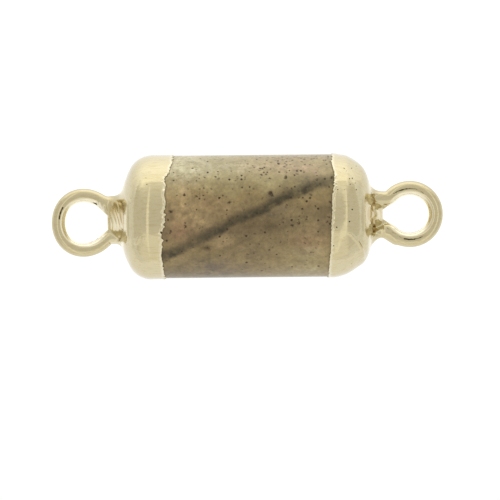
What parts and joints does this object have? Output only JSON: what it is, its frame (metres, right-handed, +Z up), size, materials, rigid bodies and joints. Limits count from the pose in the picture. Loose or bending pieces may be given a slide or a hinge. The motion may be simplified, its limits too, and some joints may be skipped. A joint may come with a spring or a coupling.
{
  "type": "two-loop spacer connector",
  "caption": "Round stone barrel between plated metal ends, each with a fixed round-wire loop, for joining a chain, cord or jump ring on either side.",
  "frame": {"origin": "middle of the barrel's length and width, on the surface that it rests on", "axes": "+X along the barrel towards the loop with the smaller eye, +Y across the barrel in the plane of the loops, +Z up"},
  "size_m": [0.0316, 0.01, 0.01],
  "materials": {
    "picture_jasper": "polished picture jasper, sandy beige with grey-brown veins and dark specks",
    "pale_gold_plating": "bright pale gold plating over electroformed copper"
  },
  "bodies": {
    "root": {"stone_barrel": "picture_jasper", "left_cap_and_loop": "pale_gold_plating", "right_cap_and_loop": "pale_gold_plating"}
  },
  "joints": []
}
